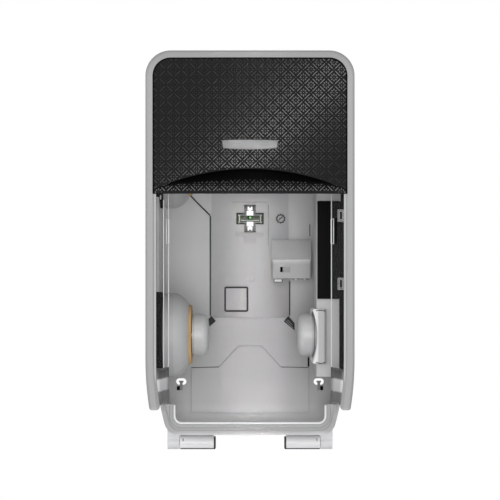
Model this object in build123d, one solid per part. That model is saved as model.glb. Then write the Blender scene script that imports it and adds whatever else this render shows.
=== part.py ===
"""Wall mounted two-roll tissue dispenser, in millimetres.

X runs to the right, Z up, and the wall is the plane Y = 0. The dispenser stands out
from it towards -Y, so a "depth" below is a distance from the wall. Z = 0 is the
middle of the wall face.
"""
from build123d import *
import math
import os

# ---- driving dimensions -------------------------------------------------------
cover_width = 182.4
cover_top = 174.0
cover_foot = -176.0
cover_depth = 179.0
cover_wall = 2.6
cover_draft = 2.5            # the outline is this much smaller at the wall
wall_gap = 4.0               # the cover's rear edge stands off the wall
top_corner = 22.0
foot_corner = 16.0
taper_start = -96.0          # the sides curve in below this height
taper_radius = 265.0
leg_foot = -139.5            # lower end of the surround's two legs
tray_depth = 55.0            # the U-shaped tray below them
tray_band = 6.0              # the tray's outer band, then a shallow valley,
tray_valley = 1.4
tray_rim = 2.6               # then a raised rim about the tray's opening
tray_side = 21.1             # the opening's side, in from the surround's
tray_lip = 14.3              # and its foot, above the surround's
tray_corner = 5.5
leg_round = (2.6, 3.2)       # of the legs' ends, outside and inside
flange_thick = 4.0
fit_gap = 1.2                # between cover and back housing
top_gap = 4.0                # the same at the top, where the cover swings over

faceplate_border = 6.5       # of the surround beside the faceplate
faceplate_head = 6.6         # and above it
faceplate_foot = 49.1
faceplate_corner = 15.6
faceplate_thick = 3.0
faceplate_crown = 1500.0
faceplate_proud = 0.4        # the crown's middle, ahead of the surround
faceplate_play = 0.2
ledge_width = 4.0            # the ledge behind the faceplate's edge
ledge_play = 0.507
flange_width = 9.4           # beside the open lower half
flange_bevel = 2.8           # the part of it that slopes in to the opening
flange_bevel_deep = 1.8

guard_reach = 9.5            # the clear strips' free edges, in from the flange
guard_set_back = 32.0        # and behind the surround's front
guard_foot = -129.0

scoop_rise = 17.0            # the finger scoop's arch
scoop_depth = 13.0
scoop_wall = 2.2

housing_wall = 2.5
housing_depth = 45.0
cheek_proud = 2.0            # the cheeks' front, ahead of the column
cheek_top = 140.0
cheek_foot = -124.0
panel_half = 37.8
panel_rise = 9.0
panel_radius = 120.0
groove_width = 1.5
groove_floor = 0.7
plug_web = 0.8

hub_set_back = 91.0          # the hubs' axis, behind the surround's front
lower_hub_z = -78.1
upper_hub_z = 77.0
hub_radius = 19.4
hub_length = 15.0
hub_nose = 7.0               # radius of the rounded end
hub_step = 1.6               # narrower step at the back
hub_play = 0.08
axle_radius = 4.0
dome_radius = 38.6
dome_nose = 28.0
dome_height = 26.2
dome_shoulder = 13.0         # the dome is straight to here, then rounds in
dome_heel = 2.5              # rounding of its edge on the gasket
gasket_thick = 2.8           # the black gasket between the dome and its cheek
gasket_low = 29.0            # its strip on the cheek's front edge, below the axis
gasket_high = 40.0           # and above it
strip_thick = 1.5
column_strip = (-113.0, 25.0)    # heights of the strip beside the column
ring_thick = 2.6

column_width = 22.4          # across, from the right cheek
column_behind = 5.6          # of the column, behind and ahead of its hub holes
column_ahead = 3.6
column_foot = -115.0
column_wall = 2.0
column_screw_heights = (-40.0, 36.0, 125.0)
column_screw_radius = 1.6
plunger_travel = 6.0
cradle_rim = 3.0             # above and below the hub's hole
cradle_slab = 3.2
cradle_front = 5.0
cradle_dish = 70.0
hub_hole_play = 2.2
column_hole_play = 5.0       # the cradle hides this larger hole

slide_gap = 2.1              # left below the upper cradle when lifted
slide_inset = 1.0            # from the column's left side
slide_thick = 2.0
slide_travel = 6.0
slide_stem_inset = 7.2       # the stem through the column's front wall
slide_stem_width = 6.0
slide_stem_half = 12.0

hinge_depth = 9.0
hinge_drop = 10.3            # the hinge's axis, below the surround's foot
barrel_radius = 6.5
pin_radius = 2.15
pin_play = 0.05
barrel_inner_x = 35.0
barrel_outer_x = 68.0
knuckle_outer_x = 79.7

slot_x = 66.8                # lower screw slots
slot_z = -128.0
slot_width = 6.4
slot_length = 9.9
hanger_z = 30.4              # upright hanging slot behind the level
hanger_width = 6.4
hanger_length = 25.0

box_screw_x = (44.0, 53.0)
box_screw_radius = 1.4
box_screw_depth = 20.0

lock_depth = 32.0
lock_radius = 8.0
lock_plug_radius = 5.9

lock_drop = 14.2             # from the lock's flange down to its cam
lock_gap_half = 45.0
lock_gap_depth = 15.0

# ---- what follows from them ---------------------------------------------------
beyond = cover_width + cover_top + cover_depth    # for cuts that run right through

half = cover_width / 2
window_half = half - flange_width
guard_edge = window_half - guard_reach
guard_depth = cover_depth - guard_set_back

faceplate_half = half - faceplate_border
faceplate_top = cover_top - faceplate_head
crown_front = cover_depth + faceplate_proud
crown_drop = faceplate_crown - math.sqrt(faceplate_crown ** 2 - faceplate_half ** 2)
ledge_seat = crown_front - crown_drop - faceplate_thick - ledge_play

housing_inset = cover_draft + cover_wall + fit_gap
housing_top = cover_top - housing_inset - top_gap
cheek_inner = half - housing_inset - housing_wall

hub_depth = cover_depth - hub_set_back
column_left = cheek_inner - column_width
column_near = hub_depth - hub_radius - column_hole_play - column_behind
column_far = hub_depth + hub_radius + column_hole_play + column_ahead
cheek_depth = column_far + cheek_proud
cradle_half = hub_radius + hub_hole_play + cradle_rim
cradle_dish_centre = math.sqrt(cradle_dish ** 2 - (cradle_half - 0.8) ** 2)
slide_half = upper_hub_z - cradle_half - slide_travel - slide_gap
slide_left = column_left + slide_inset
stem_left = column_left + slide_stem_inset
slide_stem = (stem_left, stem_left + slide_stem_width)
hinge_z = cover_foot - hinge_drop


# ---- helpers ------------------------------------------------------------------
def prism(face, near, far):
    """A face drawn in X and Z, made solid between two distances from the wall."""
    return extrude(Plane.XZ.offset(near) * face, amount=far - near)


def block(x0, x1, near, far, z0, z1):
    centre = ((x0 + x1) / 2, -(near + far) / 2, (z0 + z1) / 2)
    return Pos(*centre) * Box(x1 - x0, far - near, z1 - z0)


def rect(x0, x1, z0, z1):
    return Pos((x0 + x1) / 2, (z0 + z1) / 2) * Rectangle(x1 - x0, z1 - z0)


def side_profile(points):
    """A profile of (depth, z) points, made solid right across the part."""
    outline = Polyline(*[(-depth, z) for depth, z in points], close=True)
    return extrude(Plane.YZ * make_face(outline), amount=beyond, both=True)


def turned(points, depth, z):
    """A profile of (x, radius) points, turned about an axis along X."""
    face = make_face(Polyline(*points, close=True))
    return Pos(0, -depth, z) * revolve(face, Axis.X)


def rod(x0, x1, radius, depth, z):
    centre = ((x0 + x1) / 2, -depth, z)
    return Pos(*centre) * Rot(0, 90, 0) * Cylinder(radius, x1 - x0)


def post(radius, x, depth, z0, z1):
    return Pos(x, -depth, (z0 + z1) / 2) * Cylinder(radius, z1 - z0)


def mirrored(shape):
    return mirror(shape, about=Plane.YZ)


def surround_outline(inset, top_inset):
    """Rounded top, straight sides, and lower sides that curve in to the foot."""
    side = half - inset
    top = cover_top - top_inset
    foot = cover_foot + inset
    radius = taper_radius - inset
    foot_x = side - radius + math.sqrt(radius ** 2 - (taper_start - foot) ** 2)
    right = [
        Line((0, top), (side, top)),
        Line((side, top), (side, taper_start)),
        TangentArc((side, taper_start), (foot_x, foot), tangent=(0, -1)),
        Line((foot_x, foot), (0, foot)),
    ]
    left = [mirror(edge, about=Plane.YZ) for edge in right]
    face = make_face(right + left)
    corners = face.vertices().filter_by(lambda v: abs(v.X) > 1)
    face = fillet(corners.filter_by(lambda v: v.Y > top - 1), top_corner - inset)
    corners = face.vertices().filter_by(lambda v: abs(abs(v.X) - foot_x) < 0.01)
    return fillet(corners.filter_by(lambda v: v.Y < foot + 0.01), foot_corner - inset)


def drafted(inset):
    """The cover's form: the outline, a little smaller at the wall."""
    near = surround_outline(cover_draft + inset, cover_draft + inset)
    far = surround_outline(inset, inset)
    sections = [Plane.XZ.offset(wall_gap) * near, Plane.XZ.offset(cover_depth) * far]
    return loft(sections, ruled=True)


def tray_face(grow):
    """The tray's opening, carried up past the tray; its lower corners are rounded."""
    side = half - tray_side + grow
    foot = cover_foot + tray_lip - grow
    face = rect(-side, side, foot, leg_foot + 20)
    corners = face.vertices().filter_by(lambda v: v.Y < foot + 1)
    return fillet(corners, tray_corner + grow)


def leg_end_waste():
    """What is cut from the two legs to round their ends."""
    outside, inside = leg_round
    deep = outside + inside
    legs = surround_outline(0, 0) - surround_outline(flange_width, flange_width)
    legs &= rect(-beyond, beyond, leg_foot, faceplate_foot)
    ends = legs.vertices().filter_by(lambda v: v.Y < leg_foot + 0.01)
    outer_ends = ends.filter_by(lambda v: abs(v.X) > half - flange_width)
    legs = fillet(outer_ends, outside)
    ends = legs.vertices().filter_by(lambda v: v.Y < leg_foot + 0.01)
    inner_ends = ends.filter_by(lambda v: abs(v.X) < half - flange_width)
    legs = fillet(inner_ends, inside)
    return prism(rect(-beyond, beyond, leg_foot, leg_foot + deep) - legs, tray_depth + 20, beyond)


def faceplate_face(grow):
    face = rect(
        -faceplate_half - grow,
        faceplate_half + grow,
        faceplate_foot - grow,
        faceplate_top + grow,
    )
    top_edge = face.vertices().filter_by(lambda v: v.Y > faceplate_foot + faceplate_corner)
    return fillet(top_edge, faceplate_corner + grow)


def crown_shell(thickness, lift=0.0):
    """An upright, gently bowed sheet whose front is proud of the surround."""
    front = faceplate_crown + lift
    centre_depth = crown_front - faceplate_crown
    outer = post(front, 0, centre_depth, -beyond, beyond)
    return outer - post(front - thickness, 0, centre_depth, -beyond - 1, beyond + 1)


# ---- cover --------------------------------------------------------------------
def cover_shell():
    outer = drafted(0.0)
    rim = outer.faces().sort_by(Axis.Y)[0].outer_wire().edges()
    outer = fillet(rim, 2.4)
    cavity = drafted(cover_wall)
    knuckle_in = barrel_outer_x + 0.3
    knuckle = rod(knuckle_in, knuckle_outer_x, barrel_radius, hinge_depth, hinge_z)
    knuckle += block(
        knuckle_in, knuckle_outer_x, wall_gap, hinge_depth + barrel_radius - 1.0,
        hinge_z, cover_foot + 16,
    )
    shell = outer + knuckle + mirrored(knuckle) - cavity
    bore = rod(-beyond, beyond, pin_radius + pin_play, hinge_depth, hinge_z)
    shell -= bore

    everywhere = rect(-beyond, beyond, -beyond, beyond)
    flange = prism(everywhere, cover_depth - flange_thick, cover_depth)
    flange &= outer
    flange -= prism(faceplate_face(faceplate_play), 0, beyond)
    window = prism(surround_outline(flange_width, flange_width), 0, beyond)
    flange -= window & block(-beyond, beyond, 0, beyond, -beyond, faceplate_foot + 10)
    slope = loft([
        Plane.XZ.offset(cover_depth - flange_bevel_deep)
        * surround_outline(flange_width, flange_width),
        Plane.XZ.offset(cover_depth + flange_bevel_deep)
        * surround_outline(flange_width - 2 * flange_bevel, flange_width - 2 * flange_bevel),
    ], ruled=True)
    flange -= slope & block(-beyond, beyond, 0, beyond, -beyond, faceplate_foot)
    ledge_front = cover_depth - flange_thick + 0.2
    ledge = prism(faceplate_face(1.4), ledge_seat - 3.0, ledge_front)
    ledge -= prism(faceplate_face(faceplate_play), ledge_seat, beyond)
    ledge -= prism(faceplate_face(-ledge_width), 0, beyond)
    ledge &= block(-beyond, beyond, 0, beyond, faceplate_foot + 10.9, beyond)

    cut = [
        (tray_depth, -beyond), (tray_depth, leg_foot), (beyond, leg_foot),
        (beyond, -beyond),
    ]
    below_legs = side_profile(cut)
    inner_edge = below_legs.edges().filter_by(Axis.X).filter_by(
        lambda e: abs(e.center().Y + tray_depth) < 0.1 and e.center().Z > leg_foot - 1
    )
    below_legs = fillet(inner_edge, 14)
    low = rect(-beyond, beyond, -beyond, leg_foot - 6)
    lip = prism(low, tray_depth - 3.2, tray_depth)
    lip &= drafted(1.0)
    lip -= prism(tray_face(0), 0, beyond)
    valley = surround_outline(tray_band, tray_band) - tray_face(tray_rim)
    valley = prism(valley & low, tray_depth - tray_valley, beyond)

    shell = shell + flange + ledge - below_legs + lip - valley - leg_end_waste()

    notch = block(
        barrel_inner_x - 1.0, knuckle_in - 0.05, 0, hinge_depth + 2.5,
        cover_foot - 5, cover_foot + 9,
    )
    shell = shell - notch - mirrored(notch)
    lock_z = lock_seat()
    return shell - post(lock_radius + 0.1, 0, lock_depth, lock_z - 8, lock_z + 8)


def lock_seat():
    """Height of the lock's flange, which just clears the sloping top."""
    flange_front = lock_depth + lock_radius + 2.6
    share = (cover_depth - flange_front) / (cover_depth - wall_gap)
    return cover_top - cover_draft * share + 0.03


def scoop_face(grow):
    foot = faceplate_foot + 2.4 - grow
    reach = faceplate_half - 1.2 + grow
    arch = ThreePointArc(
        (-reach, foot + 1.5), (0, foot + 2.2 + scoop_rise + 2 * grow), (reach, foot + 1.5)
    )
    rest = Polyline((reach, foot + 1.5), (reach, foot), (-reach, foot), (-reach, foot + 1.5))
    return make_face([arch, rest])


def faceplate():
    plate = prism(faceplate_face(0.0), 0, beyond) & crown_shell(faceplate_thick)
    foot = faceplate_foot + 2.4
    top = foot + 2.2 + scoop_rise
    ramp = [(crown_front - 1.6, foot - 3), (crown_front - scoop_depth, top + 3)]
    behind = [(d - scoop_wall * 1.15, z) for d, z in ramp]
    ahead_of_ramp = side_profile([ramp[0], ramp[1], (beyond, top + 3), (beyond, foot - 3)])
    ahead_of_back = side_profile(
        [behind[0], behind[1], (beyond, top + 3), (beyond, foot - 3)]
    )
    pan = prism(scoop_face(1.6), 0, beyond) & ahead_of_back
    pan &= post(faceplate_crown, 0, crown_front - faceplate_crown, -beyond, beyond)
    pan &= prism(faceplate_face(0.0), 0, beyond)
    return plate + pan - (prism(scoop_face(0.0), 0, beyond) & ahead_of_ramp)


def name_plate():
    bar_half = 24.4
    bar_top = 95.4
    bar_foot = 88.6
    bow = 1.2
    top_arc = ThreePointArc((-bar_half, bar_top), (0, bar_top + bow / 2), (bar_half, bar_top))
    foot_arc = ThreePointArc(
        (bar_half - 1, bar_foot), (0, bar_foot - bow), (-bar_half + 1, bar_foot)
    )
    sides = [
        Line((bar_half, bar_top), (bar_half - 1, bar_foot)),
        Line((-bar_half + 1, bar_foot), (-bar_half, bar_top)),
    ]
    bar = make_face([top_arc, foot_arc] + sides)
    return prism(bar, 0, beyond) & crown_shell(0.7, lift=0.7)


def left_guard():
    """Clear strip along the opening, with a foot behind the surround's flange."""
    seat = cover_depth - flange_thick
    edge = window_half + 0.6
    section = Polyline(
        (-half, -seat), (-edge, -seat), (-guard_edge, -guard_depth),
        (-guard_edge - 1.5, -guard_depth + 0.6), (-edge - 1.3, -seat + 2.6),
        (-half, -seat + 2.6), close=True,
    )
    height = faceplate_foot + 11.9 - guard_foot
    strip = extrude(Plane.XY.offset(guard_foot) * make_face(section), amount=height)
    strip &= drafted(cover_wall + 0.3)
    strip -= block(-beyond, 0, seat - 10, beyond, faceplate_foot - 0.6, beyond)
    slot_edge = -guard_edge - 1.9
    return strip - block(slot_edge - 2.8, slot_edge, guard_depth - 10, seat - 10, 6, 28)


def snap_clips():
    clips = []
    for z in (30.0, -29.4):
        clip = block(
            window_half - 5.4, window_half, cover_depth - 5.0, cover_depth - 0.6,
            z - 5.2, z + 5.2,
        )
        clip -= block(
            window_half - 4.0, window_half - 1.2, 0, beyond, z - 3.6, z + 3.6
        )
        clips.append(clip)
    return Compound(children=clips)


def lock_body():
    z = lock_seat()
    body = post(lock_radius, 0, lock_depth, z - 14, z)
    body += post(lock_radius + 2.6, 0, lock_depth, z, z + 1.2)
    return body - post(lock_plug_radius + 0.06, 0, lock_depth, z - 20, z + 5)


def lock_nut():
    z = lock_seat() - cover_wall - 0.4
    nut = extrude(
        Pos(0, -lock_depth, z - 2.4) * RegularPolygon(lock_radius + 3.4, 6), amount=2.4
    )
    return nut - post(lock_radius + 0.02, 0, lock_depth, z - 5, z + 5)


def lock_plug():
    z = lock_seat()
    plug = post(lock_plug_radius, 0, lock_depth, z - lock_drop, z + 1.0)
    key_slot = Pos(0, -lock_depth, z) * Box(1.4, 6.0, 8.0)
    return plug - key_slot


def lock_cam():
    z = lock_seat() - lock_drop
    cam = post(6.5, 0, lock_depth, z - 2.4, z)
    return cam + block(-4, 4, lock_depth, lock_depth + 15, z - 2.4, z)


def lock_keeper():
    """A folded steel strap on the back plate: the turned cam lies behind its lug."""
    over_cam = lock_seat() - lock_drop + 0.5
    thick = 2.0
    left, right = 12.5, 21.5
    foot_z = over_cam - 7.4
    lug = lock_depth + 13.0
    strap = block(left, right, 3.0, lug, over_cam, over_cam + thick)
    strap += block(left, right, 3.0, 3.0 + thick, foot_z, over_cam + thick)
    return strap + block(left, right, lug - thick, lug, foot_z, over_cam + thick)


# ---- back housing -------------------------------------------------------------
def crowned_panel():
    centre_depth = panel_rise - panel_radius
    bowed = post(panel_radius, 0, centre_depth, -65.5, 150)
    return bowed & block(-panel_half, panel_half, 0, 12, -65.5, 150)


def screw_slot(x, z, length, width, upright=False):
    slot = SlotOverall(length, width, rotation=90 if upright else 0)
    return prism(Pos(x, z) * slot, -2, 20)


def plug_hole(play):
    """The knock-out's hole, which leaves a thin web at the back of the plate."""
    square = rect(-24.8 + play, -2.0 - play, -59.6 + play, -35.5 - play)
    return prism(square, plug_web, 20)


def level_cross(arm, width):
    cross = Rectangle(2 * arm, width) + Rectangle(width, 2 * arm)
    return Pos(0, hanger_z) * cross


def housing_body():
    outline = surround_outline(housing_inset, housing_inset + top_gap)
    inner = offset(outline, amount=-housing_wall, kind=Kind.INTERSECTION)
    tube = prism(outline, 0, cheek_depth) - prism(inner, -1, cheek_depth + 1)
    front = housing_depth
    profile = [
        (-5, beyond), (front, beyond), (front, cheek_top), (cheek_depth, cheek_top),
        (cheek_depth, cheek_foot), (front, cheek_foot), (front, -beyond), (-5, -beyond),
    ]
    mask = side_profile(profile)
    corners = mask.edges().filter_by(Axis.X).filter_by(
        lambda e: cheek_foot - 1 < e.center().Z < cheek_top + 1
    )
    mask = fillet(corners, 16)
    floor = prism(outline, 0, 3)
    return floor + (tube & mask)


def back_housing():
    body = housing_body() + crowned_panel()
    ramp = make_face(Polyline(
        (-11, -93.5), (11, -93.5), (30, -114), (57, -114.6), (57, -158),
        (-57, -158), (-57, -114.6), (-30, -114), close=True,
    ))
    body += prism(ramp, 0, 4.4)

    # grooves beside the panel, their slanted heads and the short slots at their feet
    middle = panel_half + groove_width / 2
    groove = block(-panel_half - groove_width, -panel_half, groove_floor, 10, -64, 33.5)
    short = block(panel_half, panel_half + groove_width, groove_floor, 10, -64, -30)
    slant = block(-panel_half - groove_width, -panel_half, groove_floor, 10, 0, 28.5)
    head = Pos(-middle, 0, 33.5) * Rot(0, -45, 0) * Pos(middle, 0, 0) * slant
    foot = Pos(-panel_half, 0, -68) * Rot(0, 45, 0) * block(-1.6, 1.6, 1.2, 20, -5, 5)
    body = body - groove - short - head - foot - mirrored(foot)

    for x in (-slot_x, slot_x):
        body -= screw_slot(x, slot_z, slot_length, slot_width)
        hook = block(x - 1.4, x + 1.4, 3, 5.2, slot_z - 8.4, slot_z - 3.2)
        body += hook
    body -= screw_slot(0, hanger_z, hanger_length, hanger_width, upright=True)
    body -= prism(level_cross(13.4, 11.2), 4.6, 20)
    body -= plug_hole(0.0)

    # the top wall is cut back in the middle, so that the lock clears it
    gap = lock_gap_half
    body -= block(-gap, gap, lock_gap_depth, beyond, housing_top - 10, housing_top + 10)

    # round holes for the axles, and for the plungers' guide pins
    for z in (lower_hub_z, upper_hub_z):
        body -= rod(-beyond, -cheek_inner + 2, axle_radius + 0.02, hub_depth, z)
        guide = rod(cheek_inner - 6.0, cheek_inner + 1.0, 7.6, hub_depth, z)
        body += guide
        body -= rod(cheek_inner - 7.0, cheek_inner - 0.6, 5.2, hub_depth, z)
    for z in column_screw_heights:
        body -= rod(cheek_inner - 1, cheek_inner + 5, column_screw_radius, hub_depth, z)
    return body


def square_plug():
    return crowned_panel() & plug_hole(1.4)


def level_frame():
    outer = level_cross(13.2, 11.0)
    inner = level_cross(11.8, 8.2)
    return prism(outer, 4.6, 10.2) - prism(inner, 0, 20)


def level_vial():
    tube = rod(-11.6, 11.6, 3.0, 7.6, hanger_z)
    ends = tube.edges().filter_by(GeomType.CIRCLE)
    return fillet(ends, 0.8)


def key_box():
    slope_top = 9.6
    slope_foot = -9.2
    foot = -27.3
    near = 2.0
    far = 28.0
    outer = side_profile([
        (near, slope_top), (10, slope_top), (far, slope_foot), (far, foot), (near, foot),
    ]) & block(21, 58.7, 0, 40, -40, 40)
    inner = side_profile([
        (-1, slope_top - 2), (9.4, slope_top - 2), (far - 2, slope_foot - 0.6),
        (far - 2, foot + 2), (-1, foot + 2),
    ]) & block(23, 56.7, -5, 40, -40, 40)
    front_edges = outer.edges().filter_by(Axis.Z).filter_by(
        lambda e: e.center().Y < -far + 1
    )
    outer = fillet(front_edges, 1.6)
    window = block(28.9, 38.5, 20, 40, -21.2, -16.2)
    floor_slot = block(22.6, 29.6, 19.6, 25.4, -30, -24)
    shell = outer - inner - window - floor_slot
    for x in box_screw_x:
        shell -= post(box_screw_radius + 0.02, x, box_screw_depth, -30, -24)
    return shell - crowned_panel() - block(0, beyond, -1, 3, -50, 50)


def box_screws():
    screws = []
    for x in box_screw_x:
        shank = post(box_screw_radius, x, box_screw_depth, -27.3, -18)
        head = post(2.6, x, box_screw_depth, -28.7, -27.3)
        screws.append(shank + head)
    return Compound(children=screws)


def release_button():
    button = block(31.5, 40.0, 20.0, 25.7, -25.1, -15.6)
    button += block(25.6, 31.6, 20.0, 22.4, -25.1, -18.0)
    button += block(25.6, 29.2, 20.0, 25.0, -28.2, -25.0)
    button += block(22.9, 31.0, 17.0, 29.0, -30.9, -27.7)
    return button


# ---- roll hubs ----------------------------------------------------------------
def dome(z):
    base = -cheek_inner + gasket_thick
    nose = -cheek_inner + dome_height
    shoulder = -cheek_inner + dome_shoulder
    heel = dome_heel * (1 - math.sqrt(0.5))
    outer = make_face([
        Polyline((nose, 0), (base, 0), (base, dome_radius - dome_heel)),
        ThreePointArc(
            (base, dome_radius - dome_heel), (base + heel, dome_radius - heel),
            (base + dome_heel, dome_radius),
        ),
        Line((base + dome_heel, dome_radius), (shoulder, dome_radius)),
        ThreePointArc(
            (shoulder, dome_radius), (nose - 5.4, dome_nose + 6.8), (nose, dome_nose)
        ),
        Line((nose, dome_nose), (nose, 0)),
    ])
    solid = Pos(0, -hub_depth, z) * revolve(outer, Axis.X)
    hollow = turned([
        (base - 1, 9.0), (base - 1, dome_radius - 4.0), (base + 2.5, dome_radius - 2.6),
        (shoulder, dome_radius - 2.6),
        (nose - 7.0, dome_nose + 2.0), (nose - 2.4, dome_nose - 4.0), (nose - 2.4, 9.0),
    ], hub_depth, z)
    bored = solid - hollow - rod(base - 1, nose + 1, axle_radius + 0.02, hub_depth, z)
    return bored - housing_body()


def dome_gasket(z):
    disc = rod(-cheek_inner, -cheek_inner + gasket_thick, dome_radius, hub_depth, z)
    disc -= rod(-cheek_inner - 1, -cheek_inner + gasket_thick + 1, 9.0, hub_depth, z)
    strip = block(
        -cheek_inner - housing_wall, -cheek_inner + gasket_thick,
        cheek_depth, cheek_depth + strip_thick, z - gasket_low, z + gasket_high,
    )
    return disc + strip - housing_body()


def column_seal():
    low, high = column_strip
    left = cheek_inner - 0.8
    right = cheek_inner + housing_wall
    return block(left, right, cheek_depth, cheek_depth + strip_thick, low, high)


def brake_ring(z):
    start = -cheek_inner + dome_height
    ring = rod(start, start + ring_thick, dome_nose - 0.6, hub_depth, z)
    return ring - rod(start - 1, start + ring_thick + 1, dome_nose - 5.0, hub_depth, z)


def hub_solid(back, direction, z):
    """A roll hub: a stepped back face at X = back, its round nose further along."""
    nose = back + direction * hub_length
    shoulder = nose - direction * hub_nose
    step = back + direction * hub_step
    bulge = hub_nose * (1 - math.sqrt(0.5))
    face = make_face([
        Polyline(
            (back, 0), (back, hub_radius - 1.0), (step, hub_radius - 1.0),
            (step, hub_radius), (shoulder, hub_radius),
        ),
        ThreePointArc(
            (shoulder, hub_radius), (nose - direction * bulge, hub_radius - bulge),
            (nose, hub_radius - hub_nose),
        ),
        Polyline((nose, hub_radius - hub_nose), (nose, 0), (back, 0)),
    ])
    solid = Pos(0, -hub_depth, z) * revolve(face, Axis.X)
    bore_end = nose - direction * 4.0
    ends = sorted([back - direction * 2.0, bore_end])
    return solid - rod(ends[0], ends[1], axle_radius + hub_play, hub_depth, z)


left_hub_back = -cheek_inner + dome_height + ring_thick + 0.5
left_axle_end = left_hub_back + hub_length - 4.4


def left_axle(z):
    axle = rod(-cheek_inner - housing_wall, left_axle_end, axle_radius, hub_depth, z)
    head = rod(
        -cheek_inner - housing_wall - 0.9, -cheek_inner - housing_wall, 5.6, hub_depth, z
    )
    return axle + head


right_hub_back = column_left - 1.4
carrier_start = right_hub_back + 0.4
carrier_end = carrier_start + 3.0


def right_hub(z):
    return hub_solid(right_hub_back, -1, z)


def plunger(z):
    pin = rod(right_hub_back - hub_length + 4.4, carrier_start + 0.5, axle_radius, hub_depth, z)
    disc = rod(carrier_start, carrier_end, hub_radius - 2.0, hub_depth, z)
    stem_end = cheek_inner - 0.6 - plunger_travel - 0.3
    stem = rod(carrier_end - 0.5, stem_end, 4.9, hub_depth, z)
    return pin + disc + stem


def plunger_spring(z):
    """Close-wound coils about the guide, as short as they stand when pressed home."""
    start = carrier_end + plunger_travel + 0.4
    turns = 5
    wire = 0.8
    pitch = (cheek_inner - start - 2 * wire) / turns
    coils = []
    for turn in range(turns + 1):
        x = start + wire + turn * pitch
        ring = Torus(8.8, wire)
        coils.append(Pos(x, -hub_depth, z) * Rot(0, 90, 0) * ring)
    sleeve = rod(start + 0.2, cheek_inner, 8.6, hub_depth, z)
    sleeve -= rod(start - 1, cheek_inner + 1, 8.0, hub_depth, z)
    spring = sleeve
    for coil in coils:
        spring += coil
    return spring


def right_column():
    outer = block(
        column_left, cheek_inner, column_near, column_far, column_foot, cheek_top
    )
    upright = outer.edges().filter_by(Axis.Z).filter_by(
        lambda e: e.center().X < column_left + 1
    )
    outer = fillet(upright, 1.8)
    inner = block(
        column_left + column_wall, cheek_inner + 1, column_near + column_wall,
        column_far - column_wall, column_foot + column_wall, cheek_top - column_wall,
    )
    shell = outer - inner
    for z in (lower_hub_z, upper_hub_z):
        hole_radius = hub_radius + column_hole_play
        shell -= rod(column_left - 5, column_left + 5, hole_radius, hub_depth, z)
    shell -= block(
        slide_stem[0] - 0.2, slide_stem[1] + 0.2, column_far - 4, column_far + 1,
        -slide_stem_half - 1, slide_stem_half + 1 + slide_travel,
    )
    for z in column_screw_heights:
        boss = rod(cheek_inner - 9, cheek_inner, 4.0, hub_depth, z)
        boss -= rod(cheek_inner - 8, cheek_inner + 1, column_screw_radius, hub_depth, z)
        web = block(column_left + 1, cheek_inner - 8.5, hub_depth - 4, hub_depth + 4, z - 1.2, z + 1.2)
        shell += boss + web
    return shell - housing_body()


def column_screws():
    screws = []
    outside = cheek_inner + housing_wall
    for z in column_screw_heights:
        head = rod(outside, outside + 1.2, 3.6, hub_depth, z)
        shank = rod(cheek_inner - 7.6, outside, column_screw_radius - 0.02, hub_depth, z)
        screws.append(head + shank)
    return Compound(children=screws)


def cradle(z):
    face = column_left - cradle_slab
    outer = block(
        face, column_left + 9.0, column_near + 2, column_far + cradle_front,
        z - cradle_half, z + cradle_half,
    )
    upright = outer.edges().filter_by(Axis.Z).filter_by(lambda e: e.center().Y < -column_far)
    outer = fillet(upright, 2.4)
    column = block(column_left, cheek_inner + 5, 0, column_far, -beyond, beyond)
    hole = rod(face - 5, column_left + 2, hub_radius + hub_hole_play, hub_depth, z)
    ball = Rot(0, 90, 0) * Sphere(cradle_dish)
    dish = Pos(face - cradle_dish_centre, -hub_depth, z) * ball
    reach = column_far + cradle_front - hub_depth + 1
    scoop = Pos(face - cradle_dish_centre, -hub_depth - reach / 2, z) * Rot(90, 0, 0)
    scoop *= Cylinder(cradle_dish, reach)
    return outer - column - hole - dish - scoop


def transfer_slide():
    back = column_far + 0.12
    strip = block(
        slide_left, cheek_inner - 1.6, back, back + slide_thick, -slide_half, slide_half
    )
    upright = strip.edges().filter_by(Axis.Z).filter_by(
        lambda e: e.center().Y < -back - 1
    )
    strip = fillet(upright, 1.0)
    low, high = -slide_stem_half, slide_stem_half
    stem = block(*slide_stem, column_far - 4.5, back + 0.5, low, high)
    foot = block(
        slide_stem[0] - 3, slide_stem[1] + 3, column_far - 4.5,
        column_far - column_wall - 0.4, low, high,
    )
    return strip + stem + foot


# ---- hinges at the foot ---------------------------------------------------------
def hinge_barrels():
    top = cover_foot + housing_inset
    outer_x = barrel_outer_x - 0.3
    barrel = rod(barrel_inner_x, outer_x, barrel_radius, hinge_depth, hinge_z)
    leaf = block(barrel_inner_x, outer_x, 1.0, 5.6, hinge_z, top + 3.7)
    whole = barrel + leaf
    whole -= block(0, beyond, -10, 50, top, 0)
    whole -= rod(0, beyond, pin_radius + 0.02, hinge_depth, hinge_z)
    whole -= housing_body()
    return Compound(children=[whole, mirrored(whole)])


def hinge_pins():
    pin = rod(barrel_inner_x + 0.4, knuckle_outer_x - 0.4, pin_radius, hinge_depth, hinge_z)
    return Compound(children=[pin, mirrored(pin)])


# ---- the assembly ---------------------------------------------------------------
def save(name, shape):
    export_step(shape, os.path.join("parts", name + ".step"))


os.makedirs("parts", exist_ok=True)

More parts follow.
